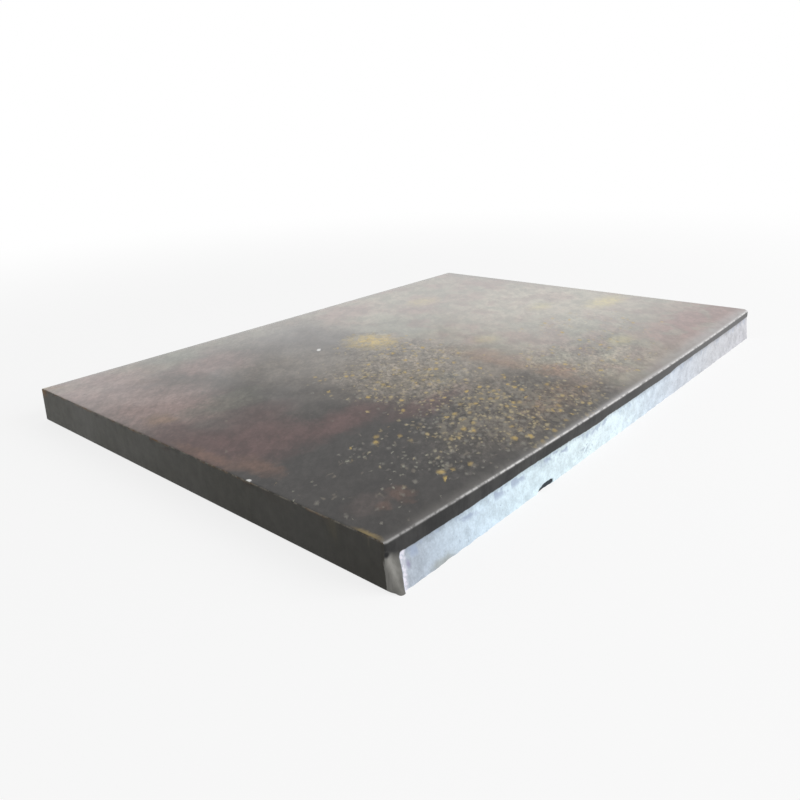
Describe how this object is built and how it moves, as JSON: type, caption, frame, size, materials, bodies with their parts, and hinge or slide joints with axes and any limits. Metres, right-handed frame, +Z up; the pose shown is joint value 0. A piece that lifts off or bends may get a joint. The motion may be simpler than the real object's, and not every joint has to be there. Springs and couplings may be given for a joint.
{
  "type": "steel plate",
  "caption": "Rectangular piece of hot-rolled steel plate, raw stock, with one long sheared side that shows a rolled edge, a burnished land and a torn face.",
  "frame": {"origin": "middle of the footprint, on the floor face", "axes": "+X along the sheared side, -Y out of the sheared side, +Z up through the thickness"},
  "size_m": [0.3, 0.216, 0.016],
  "materials": {
    "steel": "hot-rolled mill scale with light rust, bright torn metal on the sheared side"
  },
  "bodies": {
    "root": {"plate": "steel"}
  },
  "joints": []
}
